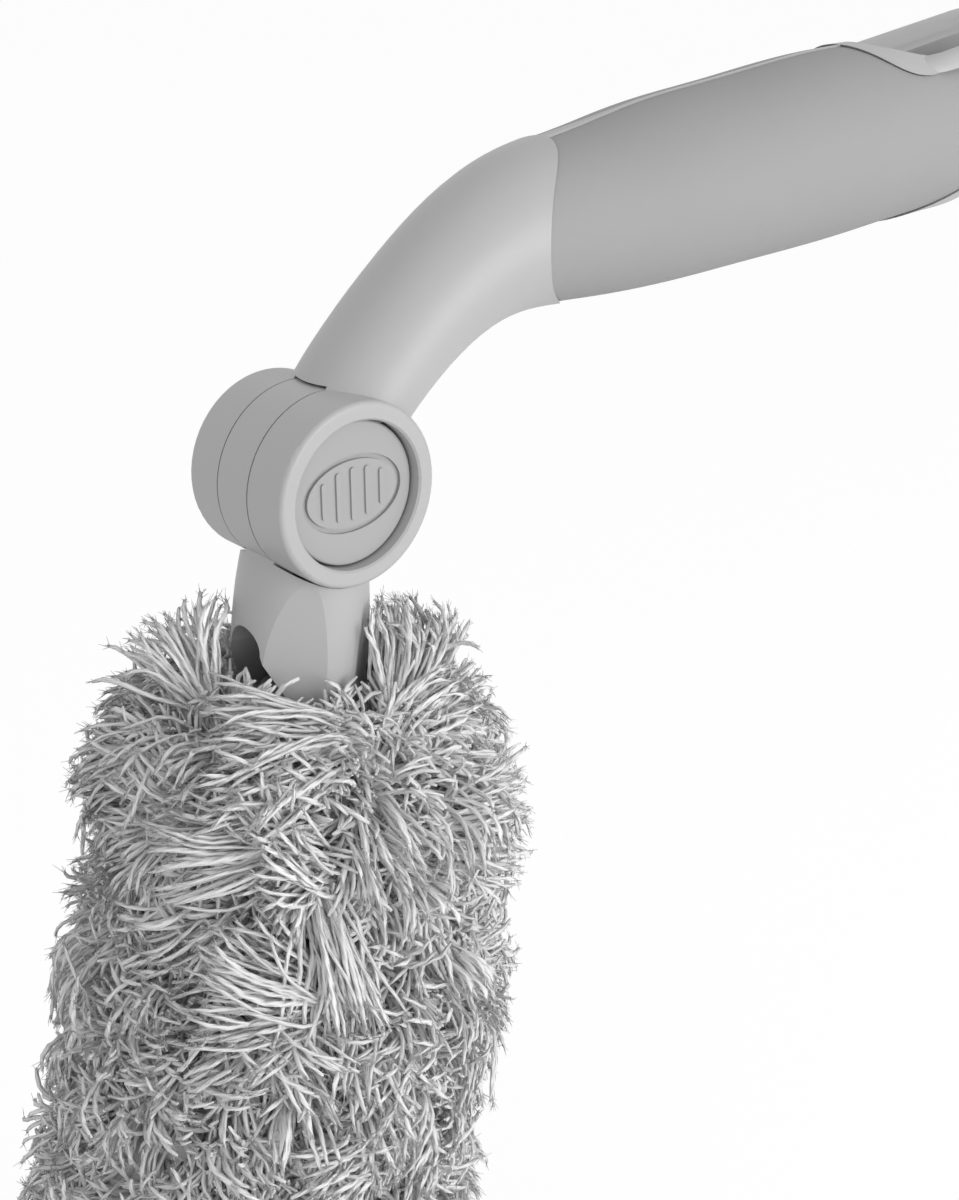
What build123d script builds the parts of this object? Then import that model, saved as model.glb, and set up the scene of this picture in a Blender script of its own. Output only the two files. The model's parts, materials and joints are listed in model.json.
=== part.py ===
from build123d import *
import os
from math import cos, degrees, pi, radians, sin, sqrt, tan

# Cobweb brush: a curved hand grip, a round tilting hub with a push button lock,
# and a yarn head on a plug-in core. Millimetres, +Z up.
# Everything is drawn about the hub's pivot: the grip lies toward +X, the pivot
# axis is Y with the button on -Y, and the head hangs toward -Z. At the end all
# of it is moved so that the origin is the middle of the hand grip.

# Handle, drawn between two half shells that meet at y = 0
handle_length = 207.0       # pivot to the end of the hang eye
handle_rise = 40.0          # height of the grip's axis over the pivot
grip_radius = 19.3          # thickest section of the grip
shell_wall = 2.2            # plastic left under the rubber
pad_thickness = 1.35        # rubber inlay
pad_sink = 0.45             # rubber face below the plastic face
pad_groove = 0.15           # gap round the edge of the rubber
pad_bed_gap = 0.05          # gap under the rubber
spine_width = 3.0           # plastic strip over the top, at the collar
seam_width = 0.5            # strip left between the two rubber panels
grip_centre = 105.0         # where the hand holds, measured from the pivot

# Hang eye
eye_radius = 14.0
eye_root_radius = 14.3
eye_hole_radius = 7.5
eye_slot_width = 9.0
eye_slot_depth = 12.0
eye_slot_place = 160.0      # where the slot begins along the handle
eye_thickness = 8.6
eye_rounding = 3.4
eye_tilt = 7.5              # degrees, the eye rises toward its end
eye_pocket_place = 152.0    # where the pocket's floor begins along the handle
eye_pocket_depth = 3.0
eye_pocket_ramp = 38.0      # degrees, the floor's slope up to the grip's top
eye_pocket_lean = 20.0      # degrees, how far the pocket's walls lean out
eye_pocket_rise = 8.0       # height of the cut over the eye's face
eye_pocket_rounding = 2.0
eye_rim = 3.4               # plastic round the pocket
eye_root_place = 158.0
eye_level = 58.1            # height of the eye's top face over the pivot
eye_level_place = 163.0     # where along the handle that height is taken

# Hub drum
hub_radius = 16.0
ear_rear_face = 12.55       # from the tongue's middle to the side away from the button
ear_edge_rounding = 0.9
tongue_width = 8.1
side_gap = 0.3              # each side of the tongue
hub_gap = 0.5               # round the tongue, to the neck's web
shoulder_gap = 0.4          # round the ears, to the head's shoulders

# Button in the front ear
button_recess_radius = 12.85
button_radius = 12.45
button_sink = 2.0           # face below the ring
button_thickness = 2.2
button_travel = 1.8
button_stop_gap = 0.1       # left under the pressed button
button_edge_rounding = 0.4
recess_lip = 0.35           # bevel round the recess
button_floor = 1.3          # wall between button and gear
oval_long = 10.2
oval_short = 6.7
oval_groove = 0.9
oval_depth = 0.55
rib_count = 5
rib_width = 1.0
rib_pitch = 3.0
rib_height = 0.35
rib_margin = 1.6            # ribs stop this far inside the oval
leg_count = 3
leg_angle = 36.0            # degrees of arc
leg_inner_radius = 6.95
leg_outer_radius = 8.25
leg_gap = 0.1               # between the legs and the gear
slot_side_gap = 0.25
lug_count = 3
lug_angle = 12.0
lug_reach = 1.05
lug_thickness = 1.0
lug_gap = 0.2

# Lock gear, half in the tongue and half in the front ear at rest
gear_teeth = 24
gear_tip_radius = 9.6
gear_root_radius = 8.5
gear_tip_share = 0.22       # share of a tooth pitch that the tip takes
gear_root_share = 0.52      # share of a tooth pitch at the root
gear_bore_radius = 6.6
gear_thickness = 3.8
gear_gap = 0.08             # running gap at the teeth
gear_pocket_gap = 0.2       # over the gear, in the ear
boss_radius = 6.3
tongue_web = 2.05           # wall between the gear's pocket and the rear ear

# Spring under the gear
spring_wire = 0.7
spring_radius = 7.45
spring_turns = 2.5
spring_end_gap = 0.05
spring_pressed_gap = 0.2    # left between the turns when the button is pressed

# Pivot bolt
bolt_radius = 3.0
bolt_gap = 0.05
bolt_head_radius = 5.2
bolt_head_height = 2.2
bolt_socket_width = 4.0
bolt_socket_depth = 1.3
washer_thickness = 0.6
head_hole_gap = 0.3
ring_radius = 5.0
ring_thickness = 1.0
ring_gap = 0.2
cap_radius = 8.5
cap_thickness = 1.4
cap_gap = 0.1
cap_spigot_radius = 4.6
cap_spigot_wall = 1.0
cap_spigot_height = 0.6

# Screws that hold the shells together
screw_radius = 1.4
screw_head_radius = 2.7
screw_head_height = 1.8
screw_bite = 9.0            # length in the front shell
screw_seat = 3.0            # plastic under the head, from the seam
boss_wall = 2.3
screw_drive_width = 1.6
screw_drive_depth = 1.0
screw_gap = 0.1

# Head socket
head_lean = 6.6             # degrees, toward -X, in the stored pose
socket_length = 47.0        # pivot to the socket's mouth
socket_half_thick = 12.3    # along X at its thickest
socket_half_wide = 11.9     # along Y at its widest
socket_bore_radius = 7.6
socket_bore_top = 20.5
facet_start_thick = 20.1    # the four facets' planes at the pivot, along X
facet_start_wide = 15.8     # and along Y
facet_mouth_thick = 16.6    # the same at the socket's mouth
facet_mouth_wide = 12.9
window_top = 25.0
window_bottom = 41.0
window_top_width = 8.4
window_bottom_width = 18.0

# Core that plugs into the socket and carries the sleeve
stem_gap = 0.2
stem_top = 37.5             # from the pivot
stem_top_rounding = 2.5
stem_flange_radius = 9.0
stem_flange_thickness = 3.0
stem_flange_gap = 0.3
stem_spigot_length = 20.0
catch_width = 5.0
catch_height = 2.5
catch_reach = 0.9
catch_place = 38.0
tube_radius = 9.0
tube_wall = 2.0
tube_end = 205.0            # from the pivot
tube_gap = 0.1
tip_thickness = 3.5
tip_rounding = 1.5
tip_spigot_length = 15.0
sleeve_wall = 1.2
sleeve_gap = 0.15
sleeve_top = 52.0
sleeve_end = 211.0
band_thickness = 1.3
band_width = 5.0
band_top = 52.6

# Yarn head
head_radius = 43.0          # to the yarn's ends
head_top = 30.0             # from the pivot to the highest yarn
head_end = 228.0            # from the pivot to the lowest yarn
row_count = 8
row_gap = 0.3
yarn_seat_gap = 0.1
rings_per_row = 3
tufts_per_ring = 16
tuft_root_width = 2.4
tuft_tip_width = 5.0
tuft_skew = 11.0            # degrees between a tuft's root and its end
tuft_root_depth = 6.0       # how far a tuft reaches into the dense yarn
tip_tuft_count = 6          # tufts that close the yarn under its core
tip_tuft_spread = 9.5       # how far out they end
dense_share = 0.75          # dense yarn's reach as a share of the outline's
dense_bulge = 2.5           # each row's rim stands out between its seams
rim_share = 0.12            # part of a row's height left to its rounded seam

# Handle sections: place along the handle, height, half height, half width and
# lean in degrees. Lengths are shares of handle_length, handle_rise, grip_radius.
section_shares = [
    (0.022, 0.155, 0.477, 0.600, 50),
    (0.071, 0.440, 0.518, 0.592, 44),
    (0.124, 0.653, 0.567, 0.602, 33),
    (0.177, 0.798, 0.648, 0.660, 21),
    (0.230, 0.870, 0.741, 0.741, 10),
    (0.291, 0.893, 0.814, 0.814, 4),
    (0.375, 0.923, 0.902, 0.902, 3),
    (0.486, 0.958, 0.953, 0.953, 3),
    (0.618, 1.000, 1.000, 1.000, 2),
    (0.725, 1.020, 0.979, 0.979, 0),
    (0.797, 1.025, 0.964, 0.943, 0),
    (0.836, 1.035, 0.950, 0.922, 0),
    (0.862, 1.065, 0.860, 0.860, 0),
    (0.880, 1.130, 0.640, 0.700, 0),
    (0.889, 1.205, 0.430, 0.520, 0),
    (0.893, 1.270, 0.220, 0.330, 0),
]
cavity_shares = section_shares[2:9]

# Side outline of a rubber panel: place along the handle, height, in the same
# shares as above. It starts over the collar and runs round by the hub end.
pad_shares = [
    (0.300, 1.420),
    (0.252, 1.235),
    (0.217, 1.052),
    (0.207, 0.860),
    (0.216, 0.700),
    (0.245, 0.575),
    (0.300, 0.470),
    (0.500, 0.400),
    (0.700, 0.520),
    (0.758, 0.610),
    (0.800, 0.705),
    (0.845, 0.880),
    (0.866, 1.080),
    (0.855, 1.270),
    (0.820, 1.350),
    (0.770, 1.360),
    (0.715, 1.345),
    (0.684, 1.400),
    (0.655, 1.520),
    (0.500, 1.560),
]

# Screw places: share of handle_length and share of handle_rise
screw_shares = [
    (0.150, 0.730),
    (0.300, 0.890),
    (0.486, 0.958),
    (0.690, 1.010),
]

# Socket sections: share of socket_length, half thickness and half width as
# shares of the shoulders, and a shift toward +X as a share of the thickness
socket_shares = [
    (0.20, 0.756, 0.975, 0.000),
    (0.36, 0.894, 1.000, -0.033),
    (0.50, 0.967, 1.000, -0.037),
    (0.64, 1.000, 0.992, -0.037),
    (0.80, 0.976, 0.950, -0.033),
    (1.00, 0.886, 0.840, -0.030),
]

# Yarn outline: share of the head's radius, and share of the way from its top
# to its end
outline_shares = [
    (0.50, 0.000),
    (0.62, 0.020),
    (0.78, 0.070),
    (0.90, 0.160),
    (0.96, 0.270),
    (1.00, 0.400),
    (1.00, 0.800),
    (0.96, 0.880),
    (0.82, 0.940),
    (0.58, 0.980),
    (0.28, 1.000),
]

reach = 2 * handle_length   # one overrun for cuts that go right through

# Worked out from the sizes above
tongue_half = tongue_width / 2
tongue_web_place = tongue_half - tongue_web
ear_inner = tongue_half + side_gap
spring_pressed = spring_wire * (spring_turns + 1 / 2) + spring_pressed_gap
gear_back_rest = spring_pressed - tongue_web_place + button_travel
gear_front_rest = gear_back_rest + gear_thickness
ear_pocket_end = gear_front_rest + gear_pocket_gap
button_floor_end = ear_pocket_end + button_floor
button_back = button_floor_end + button_stop_gap + button_travel
button_face = button_back + button_thickness
ear_front_face = button_face + button_sink
cavity_inset = pad_sink + pad_thickness + shell_wall
head_span = head_end - head_top
sleeve_inner = tube_radius + sleeve_gap
sleeve_outer = sleeve_inner + sleeve_wall
yarn_inner = sleeve_outer + yarn_seat_gap
yarn_lip = yarn_inner + band_thickness + yarn_seat_gap
tube_start = socket_length + stem_flange_gap + stem_flange_thickness
yarn_start = band_top + band_width + row_gap


def along_y(place_y, radius, length, x=0.0, z=0.0):
    """A cylinder that starts at place_y and runs toward +Y."""
    base = Plane(origin=(x, place_y, z), x_dir=(1, 0, 0), z_dir=(0, 1, 0))
    return extrude(base * Circle(radius), amount=length)


def down_z(top, radius, length):
    """A cylinder that starts at z = -top and runs toward -Z."""
    base = Plane(origin=(0, 0, -top), x_dir=(1, 0, 0), z_dir=(0, 0, -1))
    return extrude(base * Circle(radius), amount=length)


def arc_block(place_y, inner, outer, angle, length, turn):
    """A block on an arc about the Y axis, from place_y toward +Y."""
    base = Plane(origin=(0, place_y, 0), x_dir=(1, 0, 0), z_dir=(0, 1, 0))
    half = angle / 2
    edges = [
        CenterArc((0, 0), outer, -half, angle),
        Line((inner * cos(radians(half)), inner * sin(radians(half))),
             (outer * cos(radians(half)), outer * sin(radians(half)))),
        CenterArc((0, 0), inner, -half, angle),
        Line((inner * cos(radians(half)), -inner * sin(radians(half))),
             (outer * cos(radians(half)), -outer * sin(radians(half)))),
    ]
    block = extrude(base * make_face(edges), amount=length)
    return block.rotate(Axis.Y, turn)


def toothed_face(gap):
    """The gear's outline, grown by a gap for the pockets that it slides in."""
    tip = gear_tip_radius + gap
    root = gear_root_radius + gap
    pitch = 2 * pi / gear_teeth
    half_tip = pitch * gear_tip_share / 2 + gap / tip
    half_root = pitch * gear_root_share / 2 + gap / root
    points = []
    for tooth in range(gear_teeth):
        middle = tooth * pitch
        for angle, radius in ((-half_root, root), (-half_tip, tip),
                              (half_tip, tip), (half_root, root)):
            points.append((radius * cos(middle + angle), radius * sin(middle + angle)))
    return make_face(Polyline(*points, close=True))


def toothed_block(place_y, length, gap):
    base = Plane(origin=(0, place_y, 0), x_dir=(1, 0, 0), z_dir=(0, 1, 0))
    return extrude(base * toothed_face(gap), amount=length)


def handle_form(shares, inset, straight=False):
    """The handle's outer form, drawn in by an inset, smooth or in straight steps."""
    sections = []
    for place, height, tall, wide, lean in shares:
        turn = radians(lean)
        plane = Plane(origin=(place * handle_length, 0, height * handle_rise),
                      x_dir=(0, 1, 0), z_dir=(cos(turn), 0, sin(turn)))
        sections.append(plane * Ellipse(wide * grip_radius - inset, tall * grip_radius - inset))
    return loft(sections, ruled=straight)


def eye_plane():
    """The eye's top face, with its origin over the handle's middle line."""
    turn = radians(eye_tilt)
    return Plane(origin=(eye_level_place, 0, eye_level),
                 x_dir=(cos(turn), 0, sin(turn)), z_dir=(-sin(turn), 0, cos(turn)))


def eye_plate():
    end_centre = handle_length - eye_radius - eye_level_place
    root_centre = eye_root_place - eye_level_place
    circles = [Edge.make_circle(eye_radius).moved(Location((end_centre, 0, 0))),
               Edge.make_circle(eye_root_radius).moved(Location((root_centre, 0, 0)))]
    face = make_hull(circles)
    plate = extrude(face, amount=-eye_thickness)
    plate = fillet(plate.edges().filter_by(lambda edge: is_flat_rim(edge)), eye_rounding)
    return eye_plane().location * plate


def is_flat_rim(edge):
    box = edge.bounding_box()
    return box.size.Z < eye_rounding / 2


def eye_cuts():
    """The pocket in the eye's top and the keyhole through it."""
    hole_place = handle_length - eye_radius - eye_level_place
    pocket = loft([pocket_outline(-eye_pocket_depth), pocket_outline(eye_pocket_rise)],
                  ruled=True)
    floor_edges = pocket.faces().sort_by(Axis.Z)[0].edges()
    pocket = fillet(floor_edges, eye_pocket_rounding)
    hole = Pos(hole_place, 0, -reach / 2) * extrude(Circle(eye_hole_radius), amount=reach)
    slot_start = eye_slot_place + eye_slot_width / 2 - eye_level_place
    slot_depth = eye_pocket_depth + eye_slot_depth
    slot = extrude(Pos(0, 0, -slot_depth) * slot_face(slot_start, hole_place),
                   amount=slot_depth)
    return eye_plane().location * (pocket + hole + slot)


def pocket_outline(level):
    """The pocket's outline at a level over the eye's top face."""
    height = level + eye_pocket_depth
    start = eye_pocket_place - eye_level_place - height / tan(radians(eye_pocket_ramp))
    radius = eye_radius - eye_rim + level * tan(radians(eye_pocket_lean))
    end = handle_length - eye_radius - eye_level_place + radius
    return Pos((start + end) / 2, 0, level) * SlotOverall(end - start, 2 * radius)


def slot_face(start, end):
    width = eye_slot_width
    bar = Pos((start + end) / 2, 0, 0) * Rectangle(end - start, width)
    return bar + Pos(start, 0, 0) * Circle(width / 2)


def pad_points(grow):
    """The panel's side outline, with each point moved outward by grow."""
    points = [(place * handle_length, height * handle_rise) for place, height in pad_shares]
    moved = []
    for index, (x, z) in enumerate(points):
        before = points[index - 1]
        after = points[(index + 1) % len(points)]
        along = (after[0] - before[0], after[1] - before[1])
        length = sqrt(along[0] ** 2 + along[1] ** 2)
        moved.append((x + grow * along[1] / length, z - grow * along[0] / length))
    return moved


def pad_region(side, grow):
    """What one rubber panel covers: side is -1 for the front, 1 for the rear."""
    outline = make_face(Spline(*pad_points(grow), periodic=True))
    base = Plane(origin=(0, 0, 0), x_dir=(1, 0, 0), z_dir=(0, -1, 0))
    block = extrude(base * outline, amount=-side * 2 * grip_radius)
    spine_start = pad_shares[3][0] * handle_length
    spine_end = spine_start + 2 * grip_radius
    wide = spine_width / 2 - grow
    slim = seam_width / 2 - grow
    plan = make_face(Polyline((0, -reach * side), (0, wide * side), (spine_start, wide * side),
                              (spine_end, slim * side), (handle_length, slim * side),
                              (handle_length, -reach * side), close=True))
    spine = Pos(0, 0, -reach / 2) * extrude(plan, amount=reach)
    return block - spine


def screw_boss(place, height):
    radius = screw_head_radius + boss_wall
    return along_y(-2 * grip_radius, radius, 4 * grip_radius,
                   place * handle_length, height * handle_rise)


def handle_blank():
    """Both shells as one piece, with their hollows, before the split."""
    form = handle_form(section_shares, 0)
    ear_front = along_y(-ear_front_face, hub_radius, ear_front_face - ear_inner)
    rim = ear_front.edges().sort_by(Axis.Y)[0]
    ear_front = fillet(rim, ear_edge_rounding)
    ear_rear = along_y(ear_inner, hub_radius, ear_rear_face - ear_inner)
    rim = ear_rear.edges().sort_by(Axis.Y)[-1]
    ear_rear = fillet(rim, ear_edge_rounding)
    blank = form + eye_plate() - eye_cuts()
    cavity = handle_form(cavity_shares, cavity_inset, straight=True)
    for place, height in screw_shares:
        cavity -= screw_boss(place, height)
    blank -= cavity
    bed = handle_form(section_shares, pad_sink + pad_thickness + pad_bed_gap)
    for side in (-1, 1):
        blank -= pad_region(side, pad_groove) - bed
    blank += ear_front + ear_rear
    return blank - along_y(-ear_inner, hub_radius + hub_gap, 2 * ear_inner)


def half_space(side):
    """Everything on one side of the seam, as a large block."""
    block = Box(2 * reach, reach, 2 * reach)
    return Pos(0, side * reach / 2, 0) * block


def front_shell(blank):
    shell = blank & half_space(-1)
    shell -= along_y(-ear_front_face, button_recess_radius, ear_front_face - button_floor_end)
    shell -= recess_bevel()
    pocket = toothed_block(-ear_pocket_end, ear_pocket_end - ear_inner, gear_gap)
    pocket -= along_y(-ear_pocket_end, boss_radius, ear_pocket_end)
    shell -= leaned(pocket)
    shell -= along_y(-ear_front_face, bolt_radius + bolt_gap, ear_front_face)
    shell -= along_y(-button_floor_end, ring_radius + ring_gap, ring_thickness + ring_gap)
    for leg in range(leg_count):
        turn = leg * 360 / leg_count
        slot_angle = leg_angle + degrees(2 * slot_side_gap / leg_inner_radius)
        shell -= arc_block(-button_floor_end, leg_inner_radius - slot_side_gap,
                           leg_outer_radius + slot_side_gap, slot_angle,
                           button_floor_end - ear_inner, turn)
    groove_angle = lug_angle + degrees(2 * lug_gap / button_radius)
    groove_end = button_back + lug_thickness + lug_gap / 2
    for lug in range(lug_count):
        turn = (lug + 1 / 2) * 360 / lug_count
        shell -= arc_block(-groove_end, button_radius - lug_gap,
                           button_radius + lug_reach + lug_gap, groove_angle,
                           groove_end - button_floor_end, turn)
    for place, height in screw_shares:
        shell -= along_y(-screw_bite, screw_radius, screw_bite,
                         place * handle_length, height * handle_rise)
    return shell


def recess_bevel():
    """The cone that bevels the recess's edge."""
    base = Plane(origin=(0, recess_lip - ear_front_face, 0), x_dir=(1, 0, 0), z_dir=(0, -1, 0))
    lowest = (Align.CENTER, Align.CENTER, Align.MIN)
    return base.location * Cone(button_recess_radius, button_recess_radius + recess_lip,
                                recess_lip, align=lowest)


def rear_shell(blank):
    shell = blank & half_space(1)
    shell -= along_y(0, bolt_radius + bolt_gap, ear_rear_face)
    shell -= along_y(bolt_head_seat(), bolt_head_radius + head_hole_gap, ear_rear_face)
    shell -= along_y(ear_rear_face - cap_thickness - cap_gap, cap_radius + cap_gap, ear_rear_face)
    for place, height in screw_shares:
        x = place * handle_length
        z = height * handle_rise
        shell -= along_y(0, screw_radius + screw_gap, screw_seat + screw_head_height, x, z)
        shell -= along_y(screw_seat, screw_head_radius + screw_gap, 2 * grip_radius, x, z)
    return shell


def bolt_head_seat():
    """Where the bolt's washer rests in the rear ear."""
    room = cap_thickness + cap_gap + cap_spigot_height + bolt_head_height + washer_thickness
    return ear_rear_face - room


def grip_pad(side):
    layer = handle_form(section_shares, pad_sink)
    layer &= pad_region(side, 0)
    return layer - handle_form(section_shares, pad_sink + pad_thickness)


def push_button():
    disc = along_y(-button_face, button_radius, button_thickness)
    face_edge = disc.edges().sort_by(Axis.Y)[0]
    disc = fillet(face_edge, button_edge_rounding)
    base = Plane(origin=(0, -button_face, 0), x_dir=(1, 0, 0), z_dir=(0, -1, 0))
    oval = Ellipse(oval_long, oval_short) - Ellipse(oval_long - oval_groove,
                                                    oval_short - oval_groove)
    disc -= extrude(base * oval, amount=-oval_depth)
    for rib in range(rib_count):
        x = (rib - (rib_count - 1) / 2) * rib_pitch
        share = 1 - (x / (oval_long - rib_margin)) ** 2
        tall = 2 * (oval_short - rib_margin) * sqrt(share)
        bar = SlotOverall(tall - rib_width, rib_width, rotation=90)
        disc += extrude(base * (Pos(x, 0, 0) * bar), amount=rib_height)
    for leg in range(leg_count):
        turn = leg * 360 / leg_count
        disc += arc_block(-button_back, leg_inner_radius, leg_outer_radius, leg_angle,
                          button_back - gear_front_rest - leg_gap, turn)
    for lug in range(lug_count):
        turn = (lug + 1 / 2) * 360 / lug_count
        disc += arc_block(-button_back - lug_thickness, button_radius - lug_reach,
                          button_radius + lug_reach, lug_angle, lug_thickness, turn)
    return disc


def lock_gear():
    gear = toothed_block(-gear_front_rest, gear_thickness, 0)
    return gear - along_y(-gear_front_rest, gear_bore_radius, gear_thickness)


def lock_spring():
    """Spring wire between the tongue's web and the gear, wound about Y."""
    start = -tongue_web_place + spring_end_gap + spring_wire / 2
    end = gear_back_rest - spring_end_gap - spring_wire / 2
    rise = end - start
    path = Helix(rise / spring_turns, rise, spring_radius)
    wire = Plane(origin=path @ 0, z_dir=path % 0) * Circle(spring_wire / 2)
    coil = sweep(wire, path=path)
    return Pos(0, -start, 0) * coil.rotate(Axis.X, 90)


def pivot_bolt():
    seat = bolt_head_seat() + washer_thickness
    tip = -(button_floor_end - bolt_gap)
    bolt = along_y(tip, bolt_radius, seat - tip)
    bolt += along_y(seat, bolt_head_radius, bolt_head_height)
    base = Plane(origin=(0, seat + bolt_head_height, 0), x_dir=(1, 0, 0), z_dir=(0, 1, 0))
    return bolt - extrude(base * RegularPolygon(bolt_socket_width / 2, 6, major_radius=False),
                          amount=-bolt_socket_depth)


def pivot_washer():
    washer = along_y(bolt_head_seat(), bolt_head_radius, washer_thickness)
    return washer - along_y(bolt_head_seat(), bolt_radius + bolt_gap, washer_thickness)


def retaining_ring():
    start = -(button_floor_end - ring_gap)
    ring = along_y(start, ring_radius, ring_thickness)
    return ring - along_y(start, bolt_radius, ring_thickness)


def hub_cap():
    start = ear_rear_face - cap_thickness
    cap = along_y(start, cap_radius, cap_thickness)
    cap = fillet(cap.edges().sort_by(Axis.Y)[-1], cap_thickness / 2)
    spigot = along_y(start - cap_spigot_height, cap_spigot_radius, cap_spigot_height)
    inner = cap_spigot_radius - cap_spigot_wall
    return cap + (spigot - along_y(start - cap_spigot_height, inner, cap_spigot_height))


def shell_screws():
    screws = []
    for place, height in screw_shares:
        x = place * handle_length
        z = height * handle_rise
        screw = along_y(-screw_bite, screw_radius, screw_bite + screw_seat, x, z)
        screw += along_y(screw_seat, screw_head_radius, screw_head_height, x, z)
        top = screw_seat + screw_head_height
        for turn in (0, 90):
            base = Plane(origin=(x, top, z), x_dir=(1, 0, 0), z_dir=(0, 1, 0))
            slot = Rectangle(2 * screw_drive_width, screw_drive_width / 2, rotation=turn)
            screw -= extrude(base * slot, amount=-screw_drive_depth)
        screws.append(screw)
    return screws


def ellipse_tower(shares, scale_thick, scale_wide):
    sections = []
    for place, thick, wide, shift in shares:
        plane = Pos(shift * scale_thick, 0, -place * socket_length)
        sections.append(plane * Ellipse(thick * scale_thick, wide * scale_wide))
    return loft(sections)


def facet_frustum():
    """Four planes that close in toward the mouth and cut facets at the corners."""
    mouth = Pos(0, 0, -socket_length) * rhombus(facet_mouth_thick, facet_mouth_wide)
    return loft([rhombus(facet_start_thick, facet_start_wide), mouth], ruled=True)


def rhombus(thick, wide):
    return make_face(Polyline((thick, 0), (0, wide), (-thick, 0), (0, -wide), close=True))


def window_block():
    """The arched window in the socket's -X wall, wider toward the mouth."""
    radius = window_top_width / 2
    spring_line = window_top + radius
    half = window_bottom_width / 2
    edges = [
        Line((-radius, -spring_line), (-half, -window_bottom)),
        Line((-half, -window_bottom), (half, -window_bottom)),
        Line((half, -window_bottom), (radius, -spring_line)),
        CenterArc((0, -spring_line), radius, 0, 180),
    ]
    base = Plane(origin=(0, 0, 0), x_dir=(0, 1, 0), z_dir=(1, 0, 0))
    return extrude(base * make_face(edges), amount=-2 * socket_half_thick)


def head_socket():
    tower = ellipse_tower(socket_shares, socket_half_thick, socket_half_wide)
    tower &= facet_frustum()
    for side in (-1, 1):
        start = ear_inner - side_gap if side > 0 else -reach
        tower -= along_y(start, hub_radius + shoulder_gap, reach - ear_inner + side_gap)
    tongue = along_y(-tongue_half, hub_radius, tongue_width)
    socket = tower + tongue
    pocket = toothed_block(-tongue_half, tongue_half + tongue_web_place, gear_gap)
    pocket -= along_y(-tongue_half, boss_radius, tongue_width)
    socket -= pocket
    socket -= along_y(-tongue_half, bolt_radius + bolt_gap, tongue_width)
    socket -= down_z(socket_bore_top, socket_bore_radius, reach)
    return socket - window_block()


def core_stem():
    stem = down_z(stem_top, socket_bore_radius - stem_gap, tube_start - stem_top)
    stem = fillet(stem.edges().sort_by(Axis.Z)[-1], stem_top_rounding)
    stem += down_z(socket_length + stem_flange_gap, stem_flange_radius, stem_flange_thickness)
    spigot = tube_radius - tube_wall - tube_gap
    stem += down_z(tube_start, spigot, stem_spigot_length)
    catch_depth = socket_bore_radius - stem_gap + catch_reach
    catch = Pos(-catch_depth / 2, 0, -catch_place - catch_height / 2)
    return stem + catch * Box(catch_depth, catch_width, catch_height)


def core_tube():
    length = tube_end - tube_start
    tube = down_z(tube_start, tube_radius, length)
    return tube - down_z(tube_start, tube_radius - tube_wall, length)


def tip_plug():
    plug = down_z(tube_end, tube_radius, tip_thickness)
    plug = fillet(plug.edges().sort_by(Axis.Z)[0], tip_rounding)
    top = tube_end - tip_spigot_length
    return plug + down_z(top, tube_radius - tube_wall - tube_gap, tip_spigot_length)


def yarn_sleeve():
    """The cloth tube that the yarn is sewn to, closed under the tip."""
    sleeve = down_z(sleeve_top, sleeve_outer, sleeve_end - sleeve_top)
    inner_end = tube_end + tip_thickness + sleeve_gap
    return sleeve - down_z(sleeve_top, sleeve_inner, inner_end - sleeve_top)


def sleeve_band():
    band = down_z(band_top, sleeve_outer + yarn_seat_gap + band_thickness, band_width)
    return band - down_z(band_top, sleeve_outer + yarn_seat_gap, band_width)


def outline_point(share):
    """A point on the yarn's outline, by its share of the outline's length."""
    points = [(radius * head_radius, head_top + place * head_span)
              for radius, place in outline_shares]
    lengths = [sqrt((b[0] - a[0]) ** 2 + (b[1] - a[1]) ** 2)
               for a, b in zip(points, points[1:])]
    left = share * sum(lengths)
    for (a, b), length in zip(zip(points, points[1:]), lengths):
        if left <= length:
            part = left / length
            return a[0] + part * (b[0] - a[0]), a[1] + part * (b[1] - a[1])
        left -= length
    return points[-1]


def row_limits(row):
    step = (sleeve_end - yarn_start) / row_count
    return yarn_start + row * step, yarn_start + (row + 1) * step - row_gap


def dense_ring(row):
    """The dense yarn of one row: a ring whose rim bulges between its seams."""
    top, bottom = row_limits(row)
    seat_top = (yarn_inner, -top)
    seat_bottom = (yarn_inner, -bottom)
    lip_top = (yarn_lip, -top)
    lip_bottom = (yarn_lip, -bottom)
    rim_top = dense_rim(outline_point((row + rim_share) / row_count), top)
    rim_bottom = dense_rim(outline_point((row + 1 - rim_share) / row_count), bottom)
    across = (rim_top[0] - rim_bottom[0], rim_top[1] - rim_bottom[1])
    length = sqrt(across[0] ** 2 + across[1] ** 2)
    rim_middle = ((rim_top[0] + rim_bottom[0]) / 2 + dense_bulge * across[1] / length,
                  (rim_top[1] + rim_bottom[1]) / 2 - dense_bulge * across[0] / length)
    edges = [Line(seat_top, lip_top), Line(lip_top, rim_top),
             ThreePointArc(rim_top, rim_middle, rim_bottom)]
    if row < row_count - 1:
        edges += [Line(rim_bottom, lip_bottom), Line(lip_bottom, seat_bottom),
                  Line(seat_bottom, seat_top)]
    else:
        core_end = -sleeve_end - yarn_seat_gap
        low = (0, rim_bottom[1] - dense_bulge)
        edges += [Line(rim_bottom, low), Line(low, (0, core_end)),
                  Line((0, core_end), (yarn_inner, core_end)),
                  Line((yarn_inner, core_end), seat_top)]
    return revolve(Plane.XZ * make_face(edges), axis=Axis.Z)


def dense_rim(point, seat):
    """A rim point part of the way from the sleeve to the yarn's outline."""
    radius = yarn_inner + dense_share * (point[0] - yarn_inner)
    height = seat + dense_share * (point[1] - seat)
    return radius, -height


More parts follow.
